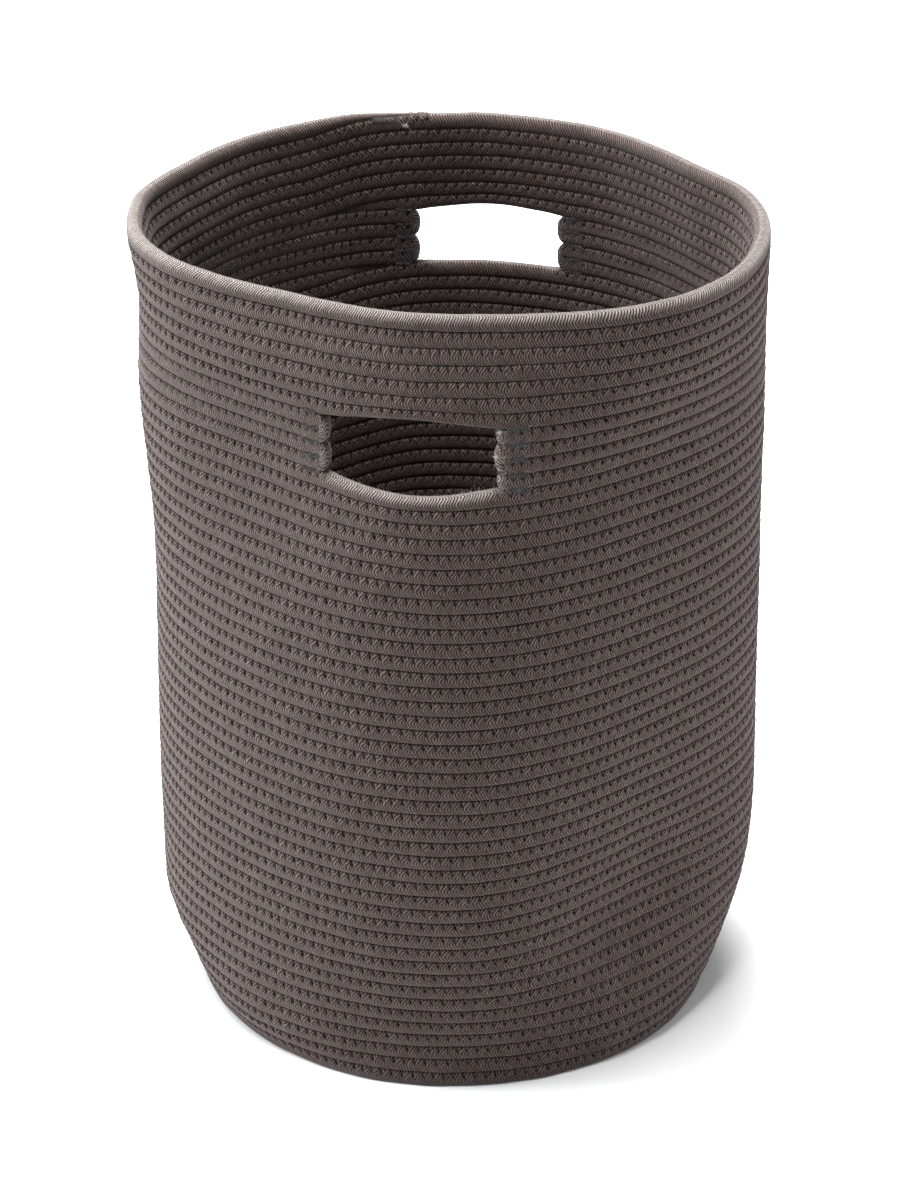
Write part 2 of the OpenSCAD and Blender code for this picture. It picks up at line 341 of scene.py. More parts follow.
def build_strand(name, strand, seed, course_z, nodes, bare, free_top, free_bottom,
                 wear_and_highlight=0.0, stretch=1.0, stitch_start=0.0, pieces=1, distance=None):
    """Builds a rope from its stations. course_z gives each station's course middle for the sewn relief."""
    angle, z = strand.angle, strand.z
    outs, ups = section_shape((free_top + 0 * angle)[:, None], (free_bottom + 0 * angle)[:, None])
    sides = ups.shape[1]
    if distance is None:
        distance = wall.length(angle)
    loose = sway(distance, seed, (0.037, 0.061, 0.097, 0.143), 0.16 * MM)
    drift = sway(distance, seed + 1, (0.053, 0.089, 0.131), 0.07 * MM)
    swell = 1 + sway(distance, seed + 2, (0.023, 0.041, 0.077), 0.012)
    b = strand.half_height * 1.02
    rise = ups * b[:, None]
    du = strand.across[:, 0:1] * rise
    dz = strand.across[:, 1:2] * rise + drift[:, None]
    r0 = wall.reach(angle, z)
    place = angle[:, None] + du / r0[:, None]
    height = np.maximum(z[:, None] + dz, FLOOR_GAP)
    depth = ROPE / 2 - outs * (strand.half_depth * swell)[:, None] + loose[:, None]
    along = wall.length(place)
    stitches = stitch_numbers(along, seed, stitch_start)
    bare, wear_and_highlight, stretch = ((value + 0 * angle)[:, None] for value in (bare, wear_and_highlight, stretch))
    local = (height - drift[:, None] - course_z(place, height, z[:, None])) * stretch
    relief = pucker(stitches, local) * (1 - bare)
    outward = np.sign(outs) * np.minimum(1, np.abs(outs) * 1.6)
    depth = depth + relief * outward * np.where(outs < 0, 0.7, 1)
    points = wall.point(place, height, depth)
    number = np.floor(stitches + 0.5)
    mask = (0.85 + 0.15 * np.sin(2.4 * number + seed)) * (1 - bare)
    stitch = np.stack([stitches, local / MM, mask], -1)
    round_way = way_round()[0][None, :] / MM + 0 * stitches
    rope_length = distance[:, None] / MM + 0 * stitches
    # painted highlight: the rope's free top (the rim, the slots' lower edges and the turns) is painted pale
    # where light from above falls on it
    painted_crest_highlight = (free_top + 0 * angle)[:, None] * 0.9 * smooth((ups + 0.3) / 1.1) * (outs > -0.6)
    knit = np.stack([rope_length, round_way, np.maximum(wear_and_highlight, painted_crest_highlight)], -1)
    stations = len(angle)
    cuts = np.linspace(0, stations - 1, pieces + 1).astype(int)
    for n in range(pieces):
        first, last = cuts[n], cuts[n + 1] + 1
        if strand.closed:
            last = stations
        rings = points[first:last]
        count = len(rings)
        faces = [tube_faces(count, sides, strand.closed)]
        if not strand.closed:
            order = np.arange(sides)
            faces += [order[None, ::-1], (order + (count - 1) * sides)[None, :]]
        layers = {"stitch": stitch[first:last].reshape(-1, 3), "knit": knit[first:last].reshape(-1, 3)}
        label = name if pieces == 1 else f"{name}_{n + 1}"
        add_piece(make_mesh(label, rings.reshape(-1, 3), faces, rope, layers), nodes)


def climb_share(within):
    """How much of its climb by one course a coil has made at an angle within its turn."""
    return smooth((within - (TURN - CLIMB)) / CLIMB)


def coil_stations(first_turn, last_turn, low, high, end_angle):
    """A level coil that climbs one course at the rear, cut off at heights low and high."""
    tau_first = first_turn * TURN + (TURN - CLIMB)
    tau_last = last_turn * TURN + (TURN - (end_angle - CLIMB_END))
    laps = (tau_last - tau_first) / TURN
    count = int(laps * wall.lap / STEP)
    tau = np.linspace(tau_first, tau_last, count)
    turn = np.minimum(np.floor(tau / TURN + 1e-9), last_turn)
    climb = climb_share(tau - turn * TURN)
    bottom = np.maximum(low, (turn + climb) * PITCH + low)
    top = np.minimum(high, (turn + 1 + climb) * PITCH + low)
    angle = CLIMB_END - tau
    share = np.minimum(1, np.maximum(top - bottom, 0.6 * MM) / PITCH)
    bottom, top = bottom + wall.lift(angle, bottom), top + wall.lift(angle, top)
    return angle, (bottom + top) / 2, np.maximum((top - bottom) / 2, 0.3 * MM), turn, share


def coil_course(place, height, station_z):
    """Height of the middle of the course that a point of a coil lies on."""
    return station_z


def build_coil(name, courses, low, high, end_angle, seed, pieces, nodes, bare):
    """A coil of the wall. bare gives how free the top and the bottom of the rope are at each station."""
    angle, z, half, turn, share = coil_stations(-1, courses - 1, low, high, end_angle)
    strand = Strand(angle, z, half, ROPE / 2 * share**0.45)
    free_top, free_bottom = bare(turn, angle)
    fade = np.maximum(1 - share**2, free_top)
    build_strand(name, strand, seed, coil_course, nodes, fade, free_top, free_bottom,
                 stretch=np.minimum(2, share * PITCH / 2 / half), pieces=pieces)


def panel_course(place, height, station_z):
    """Height of the middle of the level course that a point lies on, for the ropes between the slots."""
    course = np.clip(np.floor((height - SLOT_BOTTOM) / PITCH), 0, 3)
    return SLOT_BOTTOM + (course + 0.5) * PITCH


def spread(name, positive):
    """The first and last direction that a CAD node reaches, in angles from 0 to a full turn or about 0."""
    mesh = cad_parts[name].data
    angles = np.array([math.atan2(v.co.y, v.co.x) for v in mesh.vertices])
    if positive:
        angles = np.mod(angles, TURN)
    return angles.min(), angles.max()


def run_path(legs, closed):
    """Points (distance round the wall, height) of level runs joined by round turns.

    legs is a list of (height, from, to) where each run starts where the last turn ended.
    """
    points = []
    for n, (height, start, stop) in enumerate(legs):
        count = max(2, int(abs(stop - start) / STEP))
        xs = np.linspace(start, stop, count)
        points += [(x, height) for x in xs]
        if closed or n + 1 < len(legs):
            after = legs[(n + 1) % len(legs)][0]
            radius = (after - height) / 2
            way = 1 if stop > start else -1
            for t in np.linspace(0, math.pi, 22)[1:-1]:
                rise = math.copysign(abs(math.cos(t)) ** TURN_BLUNTNESS, math.cos(t))
                out = TURN_BEND * math.sin(t) ** TURN_BLUNTNESS
                points.append((stop + way * out, height + radius * (1 - rise)))
    return np.array(points)


def path_directions(path, closed):
    """The ways along and across a path of (distance round the wall, height)."""
    if closed:
        tangent = np.roll(path, -1, 0) - np.roll(path, 1, 0)
    else:
        tangent = np.gradient(path, axis=0)
    tangent = unit(tangent)
    return tangent, np.stack([-tangent[:, 1], tangent[:, 0]], -1)


def angle_at(distance):
    """Direction of a place at that distance round the wall from +X."""
    table = np.linspace(-2 * TURN, 2 * TURN, 4001)
    return np.interp(distance, wall.length(table), table)


def build_panel(name, legs, closed, seed, nodes):
    """A rope that runs to and fro between the slots, in a closed loop or with two cut ends."""
    path = run_path(legs, closed)
    tangent, across = path_directions(path, closed)
    length = run_lengths(path)
    level = np.abs(tangent[:, 0])
    turning = smooth((1 - level) / 0.9)
    turning = np.convolve(np.r_[turning[-5:], turning, turning[:5]], np.ones(11) / 11, "valid")
    half = PITCH / 2 + (TURN_WIDTH - PITCH / 2) * turning
    deep = ROPE / 2 * (1 - 0.1 * turning)
    if not closed:
        # the two cut ends are whipped over and rounded
        for distance in (length, length[-1] - length):
            end = np.sqrt(1 - (1 - np.clip(distance / (3.6 * MM), 0, 1)) ** 2)
            half *= 0.12 + 0.88 * end
            deep *= 0.12 + 0.88 * end
    angle = angle_at(path[:, 0])
    strand = Strand(angle, path[:, 1], half, deep, across, closed=closed)
    # the turns and the cut ends are not sewn, and their cover is worn pale; a painted highlight is also laid
    # on their free top
    if not closed:
        turning = np.maximum(turning, 1 - smooth(np.minimum(length, length[-1] - length) / (9 * MM)))
    build_strand(name, strand, seed, panel_course, nodes, turning, turning, turning,
                 wear_and_highlight=0.4 * turning, stitch_start=STITCH_LAG * seed, distance=length)


def build_base():
    """The flat spiral of rope that the hamper stands on."""
    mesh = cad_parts["base_coil"].data
    rim = [v.co for v in mesh.vertices if v.co.z < ROPE / 2]
    angles = np.array([math.atan2(p.y, p.x) for p in rim])
    sizes = np.array([math.hypot(p.x, p.y) for p in rim])
    keep = sizes > 0.5 * sizes.max()
    order = np.argsort(angles[keep])
    angles, sizes = angles[keep][order], sizes[keep][order]
    angles = np.r_[angles - TURN, angles, angles + TURN]
    sizes = np.r_[sizes, sizes, sizes]
    mean = sizes.mean()
    turns = round(mean / ROPE)
    coil = mean / turns
    count = int(math.pi * mean * (turns + 2) / BASE_STEP)
    # from the middle outwards with an even spacing of stations, and one more lap that tapers to nothing
    turn = np.sqrt(np.linspace(0.15**2, (turns + 0.97) ** 2, count))
    angle = CLIMB_END - turn * TURN
    width = np.minimum(1, turns + 1 - turn)
    outline = np.interp(np.mod(angle + math.pi, TURN) - math.pi, angles, sizes)
    # the last lap keeps to the wall, and its edge sinks a little into the wall's rope
    outer = np.where(turn > turns, 1 + 1.8 * MM / mean, np.minimum(turn, turns) * coil / mean)
    half = coil / 2 * width * outline / mean + 0.9 * MM * (turn > turns - 1)
    middle = np.maximum(outer * outline - coil / 2 * width * outline / mean, 0.0005 * turn)
    around = 12
    phi = np.linspace(0, TURN, around, endpoint=False)
    outs = np.sign(np.cos(phi)) * np.abs(np.cos(phi)) ** 0.8
    ups = np.sign(np.sin(phi)) * np.abs(np.sin(phi)) ** 0.8
    distance = np.r_[0, np.cumsum(np.hypot(np.diff(middle), middle[1:] * np.diff(-angle)))]
    r = middle[:, None] + outs[None, :] * half[:, None] * 1.06
    r = np.maximum(r, 0.0001)
    wobble = sway(distance, 91, (0.043, 0.071, 0.117), 0.15 * MM)[:, None]
    stitches = stitch_numbers(distance, 89)
    local = outs[None, :] * ROPE / 2
    relief = pucker(stitches[:, None], local)
    z = ROPE / 2 + ups[None, :] * (ROPE / 2 - np.where(ups > 0, 0.5 * MM, 0.1 * MM)[None, :])
    z = z - np.where(ups > 0, relief * ups[None, :], 0) + np.where(ups > 0, wobble, 0)
    z = np.maximum(z, FLOOR_GAP)
    points = np.stack([r * np.cos(angle)[:, None], r * np.sin(angle)[:, None], z], -1)
    stitch = np.stack([stitches[:, None] + 0 * z, local / MM + 0 * z, 0.8 + 0 * z], -1)
    round_way = np.abs(np.arctan2(outs, ups)) * BASE_KNIT_RADIUS
    knit = np.stack([distance[:, None] / MM + 0 * z, round_way[None, :] + 0 * z, 0 * z], -1)
    faces = tube_faces(count, around, False)[:, ::-1]
    caps = [np.arange(around)[None, :], (np.arange(around) + (count - 1) * around)[None, ::-1]]
    piece = make_mesh("base_coil_rope", points.reshape(-1, 3), [faces] + caps, rope,
                      {"stitch": stitch.reshape(-1, 3), "knit": knit.reshape(-1, 3)})
    add_piece(piece, ["base_coil"])


# ---- threads and fibres

# Radius of the sewing thread in the seams
SEAM_THREAD = 0.27 * MM
# Spacing of the thread's passes in a bar tack
TACK_PITCH = 0.62 * MM


def thread_mesh(name, runs, radius, material, sides=4):
    """One mesh of thin round threads, one for each array of points in runs."""
    all_points, all_faces, all_values = [], [], []
    offset = 0
    turn = np.arange(sides) * TURN / sides
    for number, run in enumerate(runs):
        points = np.asarray(run, float)
        tangent = unit(np.gradient(points, axis=0))
        outward = unit(points * np.array([1, 1, 0]))
        side = unit(np.cross(tangent, outward + np.array([0, 0, 0.05])))
        normal = np.cross(side, tangent)
        size = radius if np.isscalar(radius) else radius[number]
        size = np.broadcast_to(np.asarray(size, float), (len(points),))
        ring = (points[:, None, :]
                + size[:, None, None] * (np.cos(turn)[None, :, None] * normal[:, None, :]
                                         + np.sin(turn)[None, :, None] * side[:, None, :]))
        all_points.append(ring.reshape(-1, 3))
        all_faces.append(tube_faces(len(points), sides, False) + offset)
        along = run_lengths(points) / MM
        values = np.stack([along[:, None] + 0 * turn, turn[None, :] + 0 * along[:, None],
                           np.full((len(points), sides), (number * 0.618) % 1)], -1)
        all_values.append(values.reshape(-1, 3))
        offset += len(points) * sides
    piece = make_mesh(name, np.concatenate(all_points), np.concatenate(all_faces), material,
                      {"thread": np.concatenate(all_values)})
    return add_piece(piece)


def needle_angles(angle_table, stitches_table):
    """Directions of the needle points along a rope: every hole, and the point half way to the next."""
    order = np.argsort(stitches_table)
    numbers = np.arange(math.ceil(stitches_table.min()), math.floor(stitches_table.max()), 0.5)
    return np.interp(numbers, stitches_table[order], angle_table[order])


def zigzag(angles, seam_heights, face_depth, way, seed):
    """A seam's thread: low into the holes, up across the seam and back. way is 1 outside, -1 inside."""
    rng = np.random.default_rng(seed)
    low = np.arange(len(angles)) % 2 == 0
    z = seam_heights + np.where(low, -(PITCH / 2 - HOLE_HEIGHT), 1.2 * MM)
    z = z + rng.uniform(-0.15, 0.15, len(z)) * MM
    sunk = np.where(low, 1.5 * MM, 1.15 * MM)
    # a middle point on each leg lies in the seam's groove
    depth = face_depth + way * alternate(sunk, 1.25 * MM)
    return wall.point(alternate(angles, (angles[1:] + angles[:-1]) / 2),
                      alternate(z, (z[1:] + z[:-1]) / 2), depth)


def coil_seam_threads(name, courses, low, seed, pieces):
    """Zigzag threads on both faces of a coil, one continuous seam from its first course to its last."""
    tau = np.linspace(TURN * 0.93, courses * TURN - 0.001, courses * 1400)
    angle = CLIMB_END - tau
    turn = np.floor(tau / TURN + 1e-9)
    climb = climb_share(tau - turn * TURN)
    seam = low + (turn + climb) * PITCH
    seam = seam + wall.lift(angle, seam)
    below = angle + TURN
    along = wall.length(below)
    stitches = stitch_numbers(along, seed)
    needle = needle_angles(angle, stitches)
    order = np.argsort(angle)
    heights = np.interp(needle, angle[order], seam[order])
    inside = needle_angles(angle, stitches + 0.25)
    inside_heights = np.interp(inside, angle[order], seam[order])
    outer = zigzag(needle, heights, 0, 1, seed)
    inner = zigzag(inside, inside_heights, ROPE, -1, seed + 1)
    for label, points in (("outside", outer), ("inside", inner)):
        cuts = np.linspace(0, len(points), pieces + 1).astype(int)
        for n in range(pieces):
            run = points[max(0, cuts[n] - 1):cuts[n + 1]]
            thread_mesh(f"{name}_{label}_{n + 1}", [run], SEAM_THREAD, seam_thread)


def panel_seam_threads(name, start, stop, below, seed):
    """Zigzag threads of a panel's level seams. below gives each rope's seed and first stitch."""
    runs = []
    table = np.linspace(start, stop, 3000)
    for seam, (rope_seed, lag) in enumerate(below):
        stitches = stitch_numbers(wall.length(table), rope_seed, lag)
        z = SLOT_BOTTOM + seam * PITCH
        for shift, depth, way in ((0, 0, 1), (0.25, ROPE, -1)):
            needle = needle_angles(table, stitches + shift)
            runs.append(zigzag(needle, np.full(len(needle), z), depth, way, seed + seam))
    thread_mesh(name, runs, SEAM_THREAD, seam_thread)


def bar_tack(start, stop, z, way, seed, height):
    """Dense zigzag of a bar tack across a seam, from one direction to another, as a list of threads."""
    rng = np.random.default_rng(seed)
    span = abs(wall.length(np.array(stop)) - wall.length(np.array(start)))
    runs = []
    for layer in range(2):
        count = int(span / TACK_PITCH)
        xs = np.linspace(start, stop, count) + rng.normal(0, 0.7, count) * (stop - start) / count
        ends = np.where(np.arange(count) % 2 == 0, -1, 1) * height * rng.uniform(0.5, 1.25, count)
        t = np.linspace(0, 1, 5, endpoint=False)
        angle, rise = in_steps(xs, t), in_steps(ends, t)
        over = np.sin(math.pi * t)[None, :] ** 0.6 + 0 * xs[:-1, None]
        sunk = (0.8 * MM - (0.7 + 0.25 * layer) * MM * over).ravel()
        sunk = sunk + rng.uniform(-0.08, 0.08, len(sunk)) * MM
        face = 0 if way > 0 else ROPE
        runs.append(wall.point(angle, z + rise, face + way * sunk))
    return runs


def slot_tacks(node, positive, seed):
    """The five bar tacks at one end of a slot, on both faces, in place of the CAD node's."""
    start, stop = spread(node, positive)
    rng = np.random.default_rng(seed)
    runs = []
    for seam in range(5):
        for way in (1, -1):
            jog = 0.0 if seam % 2 == 0 else 0.4 * MM
            trim = rng.uniform(0, 1.8, 2) * MM / REACH
            runs += bar_tack(start + trim[0], stop - trim[1], SLOT_BOTTOM + seam * PITCH - jog, way,
                             seed + 10 * seam + way, height=rng.uniform(1.5, 2.5) * MM)
    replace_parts(thread_mesh(f"{node}_thread", runs, 0.23 * MM, tack_thread), node)


def fibres(name, roots, directions, lengths, radius, material, seed):
    """Loose curling fibres, each a thin tapering thread from its root."""
    rng = np.random.default_rng(seed)
    t = np.linspace(0, 1, 5)
    runs, sizes = [], []
    for root, way, length in zip(roots, directions, lengths):
        bend = rng.normal(0, 0.45, 3)
        curve = root + length * (t[:, None] * way + (t**2)[:, None] * bend)
        runs.append(curve)
        sizes.append(radius * (1.0 - 0.75 * t))
    thread_mesh(name, runs, sizes, material, sides=3)


# ---- materials

class Shader:
    """A small helper that builds a node material from plain calls."""

    def __init__(self, name):
        self.material = bpy.data.materials.new(name)
        self.material.use_nodes = True
        self.tree = self.material.node_tree
        self.tree.nodes.clear()
        output = self.tree.nodes.new("ShaderNodeOutputMaterial")
        self.surface = self.tree.nodes.new("ShaderNodeBsdfPrincipled")
        self.tree.links.new(self.surface.outputs[0], output.inputs["Surface"])

    def set(self, node, key, value):
        if isinstance(value, bpy.types.NodeSocket):
            self.tree.links.new(value, node.inputs[key])
        else:
            node.inputs[key].default_value = value

    def math(self, operation, a, b=None, c=None):
        node = self.tree.nodes.new("ShaderNodeMath")
        node.operation = operation
        for key, value in enumerate((a, b, c)):
            if value is not None:
                self.set(node, key, value)
        return node.outputs[0]

    def times(self, a, b):
        return self.math("MULTIPLY", a, b)

    def split(self, vector):
        node = self.tree.nodes.new("ShaderNodeSeparateXYZ")
        self.set(node, 0, vector)
        return node.outputs

    def join(self, x, y, z):
        node = self.tree.nodes.new("ShaderNodeCombineXYZ")
        for key, value in enumerate((x, y, z)):
            self.set(node, key, value)
        return node.outputs[0]

    def attribute(self, name):
        node = self.tree.nodes.new("ShaderNodeAttribute")
        node.attribute_name = name
        return self.split(node.outputs["Vector"])

    def noise(self, vector, scale, detail, roughness=0.5):
        node = self.tree.nodes.new("ShaderNodeTexNoise")
        self.set(node, "Vector", vector)
        self.set(node, "Scale", scale)
        self.set(node, "Detail", detail)
        self.set(node, "Roughness", roughness)
        return node.outputs["Fac"]

    def scatter(self, vector):
        """Three random values that stay the same over each whole-numbered cell."""
        node = self.tree.nodes.new("ShaderNodeTexWhiteNoise")
        self.set(node, "Vector", vector)
        return self.split(node.outputs["Color"])

    def span(self, value, low, high, to_low=0.0, to_high=1.0, kind="LINEAR"):
        node = self.tree.nodes.new("ShaderNodeMapRange")
        node.interpolation_type = kind
        for key, item in enumerate((value, low, high, to_low, to_high)):
            self.set(node, key, item)
        return node.outputs[0]

    def mix(self, factor, a, b, blend="MIX"):
        node = self.tree.nodes.new("ShaderNodeMix")
        node.data_type = "RGBA"
        node.blend_type = blend
        self.set(node, 0, factor)
        self.set(node, 6, a)
        self.set(node, 7, b)
        return node.outputs[2]

    def bump(self, height, distance, strength, below=None):
        node = self.tree.nodes.new("ShaderNodeBump")
        self.set(node, "Strength", strength)
        self.set(node, "Distance", distance)
        self.set(node, "Height", height)
        if below is not None:
            self.set(node, "Normal", below)
        return node.outputs[0]

    def finish(self, colour, normal, roughness, sheen=0.0, sheen_roughness=0.5, specular=0.2):
        sockets = {"Base Color": colour, "Roughness": roughness, "Sheen Weight": sheen,
                   "Sheen Tint": (1.0, 0.95, 0.94, 1), "Sheen Roughness": sheen_roughness,
                   "Specular IOR Level": specular}
        if normal is not None:
            sockets["Normal"] = normal
        for key, value in sockets.items():
            self.set(self.surface, key, value)
        return self.material


def srgb(r, g, b):
    """A colour given as 0 to 255 in each channel, for a shader socket."""
    def linear(c):
        c /= 255
        return c / 12.92 if c <= 0.04045 else ((c + 0.055) / 1.055) ** 2.4
    return (linear(r), linear(g), linear(b), 1)


# Lean of the yarn's strokes for each millimetre round the rope, and their spacing in millimetres
STROKE_LEAN, STROKE_PITCH = 0.68, 1.85


def rope_material():
    """Knitted cotton cover: chevron strokes of yarn with painted shade between them, needle holes along each
    seam painted dark as shade, mixed warm tints, and a painted highlight on the rope's free top.
    """
    s = Shader("rope_cotton")
    # the knit's third value is how pale the cover is: real wear at the turns, and a painted highlight along
    # the rope's free tops
    x, y, wear_and_highlight = s.attribute("knit")
    stitches, height, force = s.attribute("stitch")
    flat = s.join(s.times(x, 0.11), s.times(y, 0.11), force)
    wander = s.times(s.math("SUBTRACT", s.noise(flat, 1.0, 3.0), 0.5), 2.6)
    leg = s.math("PINGPONG", y, way_round()[1] / 8 / MM)
    # the strokes gather towards the needle holes
    gather = s.times(s.math("SINE", s.times(stitches, TURN)),
                    s.span(height, -2.0, 3.5, 0.0, 0.45, "SMOOTHSTEP"))
    gather = s.times(gather, force)
    slanted = s.math("ADD", s.math("ADD", x, wander), gather)
    slanted = s.math("SUBTRACT", slanted, s.times(leg, STROKE_LEAN))
    count = s.math("DIVIDE", slanted, STROKE_PITCH)
    half = s.math("GREATER_THAN", height, 0.0)
    number = s.math("FLOOR", count)
    ridge = s.math("MULTIPLY_ADD", s.math("COSINE", s.times(count, TURN)), -0.5, 0.5)
    tint = s.scatter(s.join(number, half, s.math("FLOOR", s.times(leg, 0.27))))
    fibre = s.join(s.times(slanted, 2.6), s.times(leg, 0.8), half)
    fine = s.noise(fibre, 1.0, 3.0, 0.6)
    stroke = s.times(s.span(ridge, 0.12, 0.8, 0.0, 1.0, "SMOOTHSTEP"),
                    s.span(fine, 0.3, 0.66, 0.45, 1.15))
    stroke = s.times(stroke, s.span(tint[2], 0.0, 1.0, 0.62, 1.12))
    # needle holes, and the notch that the thread pulls from each hole to the seam, as a mask that sinks them
    # in the bump and paints shade into them
    share = s.math("SUBTRACT", s.math("FRACT", s.math("ADD", stitches, 0.5)), 0.5)
    across = s.times(share, STITCH / MM)
    up = s.math("SUBTRACT", height, HOLE_HEIGHT / MM)
    lean = s.math("ADD", across, s.times(up, 0.35))
    far = s.math("SQRT", s.math("ADD", s.math("POWER", lean, 2.0),
                                s.math("POWER", s.math("DIVIDE", up, 1.35), 2.0)))
    # the notch widens towards the seam
    width = s.span(up, 0.0, 2.2, 0.5, 1.2)
    beside = s.math("DIVIDE", s.math("ABSOLUTE", lean), width)
    notch = s.times(s.span(beside, 1.0, 0.3, 0, 0.75, "SMOOTHSTEP"), s.span(up, -0.2, 0.5))
    hole = s.math("MAXIMUM", s.span(far, 1.3, 0.75, 0, 1, "SMOOTHSTEP"), notch)
    hole = s.times(hole, force)
    # colours
    # colours: the strokes run from dark to light, partly the yarn's own mixed tones and partly painted shade
    # in the grooves between strokes, where the bump sinks them
    dark, light, pale = srgb(43, 37, 36), srgb(118, 106, 102), srgb(202, 194, 189)
    cover = s.mix(stroke, dark, light)
    warm = s.mix(tint[0], srgb(255, 226, 214), srgb(236, 232, 220))
    warm = s.mix(s.span(tint[1], 0.62, 0.8), warm, srgb(236, 222, 240))
    cover = s.mix(0.7, cover, s.mix(1.0, cover, warm, "MULTIPLY"))
    # random darker patches of tone along the rope
    patch = s.noise(s.join(s.times(x, 0.03), s.times(y, 0.05), 0.0), 1.0, 3.0)
    mottled_tone = s.mix(1.0, cover, srgb(170, 160, 156), "MULTIPLY")
    cover = s.mix(s.span(patch, 0.3, 0.7, 0.0, 0.25), cover, mottled_tone)
    # pale colours for the worn turns and for the painted highlight on the free tops
    cover = s.mix(s.times(wear_and_highlight, 0.7), cover, s.mix(stroke, srgb(48, 43, 41), pale))
    # painted shade: the needle holes and notches are painted near black
    cover = s.mix(hole, cover, srgb(5, 5, 5))
    relief = s.math("SUBTRACT", stroke, s.times(hole, 1.5))
    normal = s.bump(relief, 0.48 * MM, 1.0)
    normal = s.bump(fine, 0.12 * MM, 0.6, normal)
    return s.finish(cover, normal, 0.95, sheen=0.22, sheen_roughness=0.42, specular=0.06)


def thread_material(name, dark, light, sheen, specular, roughness):
    """Twisted sewing thread: fine plies along its length and a soft gloss."""
    s = Shader(name)
    along, turn, number = s.attribute("thread")
    twist = s.math("SINE", s.math("ADD", s.times(along, 7.0), turn))
    plies = s.math("MULTIPLY_ADD", twist, 0.5, 0.5)
    tone = s.noise(s.join(s.times(along, 0.4), s.times(number, 37.0), 0.0), 1.0, 2.0)
    cover = s.mix(s.times(s.math("ADD", plies, tone), 0.5), srgb(*dark), srgb(*light))
    normal = s.bump(plies, 0.05 * MM, 0.7)
    return s.finish(cover, normal, roughness, sheen=sheen, specular=specular)


def floor_material():
    s = Shader("studio_floor")
    node = s.tree.nodes.new("ShaderNodeNewGeometry")
    grain = s.noise(node.outputs["Position"], 3.0, 2.0)
    cover = s.mix(grain, (0.87, 0.87, 0.87, 1), (0.89, 0.89, 0.89, 1))
    return s.finish(cover, None, 0.9, specular=0.0)


# ---- the hamper

rope = rope_material()
seam_thread = thread_material("seam_cotton", (40, 34, 32), (84, 74, 70), 0.1, 0.1, 0.9)
tack_thread = thread_material("tack_polyester", (32, 32, 33), (72, 71, 73), 0.15, 0.1, 0.9)
fuzz = thread_material("cotton_fuzz", (96, 88, 82), (170, 158, 150), 0.4, 0.1, 0.9)
pale_fuzz = thread_material("pale_cotton_fuzz", (130, 118, 110), (205, 194, 186), 0.4, 0.1, 0.9)
pale_thread = thread_material("pale_fibre", (150, 142, 136), (222, 216, 212), 0.3, 0.2, 0.8)

LEFT = spread("left_lower_loop", True)
RIGHT = spread("right_panel_coil", False)
# Each slot end's direction, and the way from it into the panel
SLOT_ENDS = ((LEFT[1], -1), (LEFT[0], 1), (RIGHT[0], 1), (RIGHT[1], -1))
ROPE_END = spread("rim_tack", True)[0]


def over_a_panel(angle):
    """Whether each direction lies on one of the two panels between the slots."""
    way = np.mod(angle, TURN)
    left = (way > LEFT[0]) & (way < LEFT[1])
    right = (way < RIGHT[1]) | (way > TURN + RIGHT[0])
    return left | right


def build_walls():
    def bare_lower(turn, angle):
        edge = np.where((turn >= LOWER_COURSES - 1) & ~over_a_panel(angle), 1.0, 0.0)
        return np.convolve(edge, np.ones(15) / 15, "same"), np.where(turn < 0.5, 0.5, 0.0)

    def bare_upper(turn, angle):
        edge = np.where((turn < 1) & ~over_a_panel(angle), 0.8, 0.0)
        return np.where(turn >= UPPER_COURSES - 1, 1.0, 0.0), np.convolve(edge, np.ones(9) / 9, "same")

    build_coil("lower_wall_rope", LOWER_COURSES, 0.0, SLOT_BOTTOM, CLIMB_END, 100, 14,
               ["lower_wall_coil"], bare_lower)
    build_coil("upper_wall_rope", UPPER_COURSES, SLOT_TOP, BASKET_HEIGHT, ROPE_END, 200, 3,
               ["upper_wall_coil"], bare_upper)


def build_panels():
    margin = TURN_BEND + TURN_WIDTH
    left = wall.length(np.array(LEFT))
    for number, name in enumerate(("left_lower_loop", "left_upper_loop")):
        z = SLOT_BOTTOM + (2 * number + 0.5) * PITCH
        start, stop = left[0] + margin, left[1] - margin
        legs = [(z, start, stop), (z + PITCH, stop, start)]
        build_panel(name + "_rope", legs, True, 300 + 10 * number, [name])
    right = wall.length(np.array(RIGHT))
    front, rear = right[0] + margin, right[1] - margin
    levels = [SLOT_BOTTOM + (k + 0.5) * PITCH for k in range(4)]
    cut = right[0] + 0.6 * MM
    ends = (cut, rear, front, rear, cut)
    legs = [(levels[k], ends[k], ends[k + 1]) for k in range(4)]
    build_panel("right_panel_rope", legs, False, 320, ["right_panel_coil"])


def build_threads():
    coil_seam_threads("lower_seam_thread", LOWER_COURSES, 0.0, 100, 3)
    coil_seam_threads("upper_seam_thread", UPPER_COURSES, SLOT_TOP, 200, 1)
    for number, end in enumerate(("front_left", "rear_left", "front_right", "rear_right")):
        slot_tacks(end + "_tacks", end.endswith("left"), 410 + 10 * number)

    # the threads stop short of the turns, and the needle holes of the course below place them
    inset = 9 * MM / REACH
    panels = (("left", LEFT, (300, 300, 310, 310), 500), ("right", RIGHT, (320, 320, 320, 320), 520))
    for side, ends, seeds, thread_seed in panels:
        below = [(100, 0.0)] + [(seed, STITCH_LAG * seed) for seed in seeds]
        panel_seam_threads(side + "_panel_seam_thread", ends[0] + inset, ends[1] - inset, below, thread_seed)


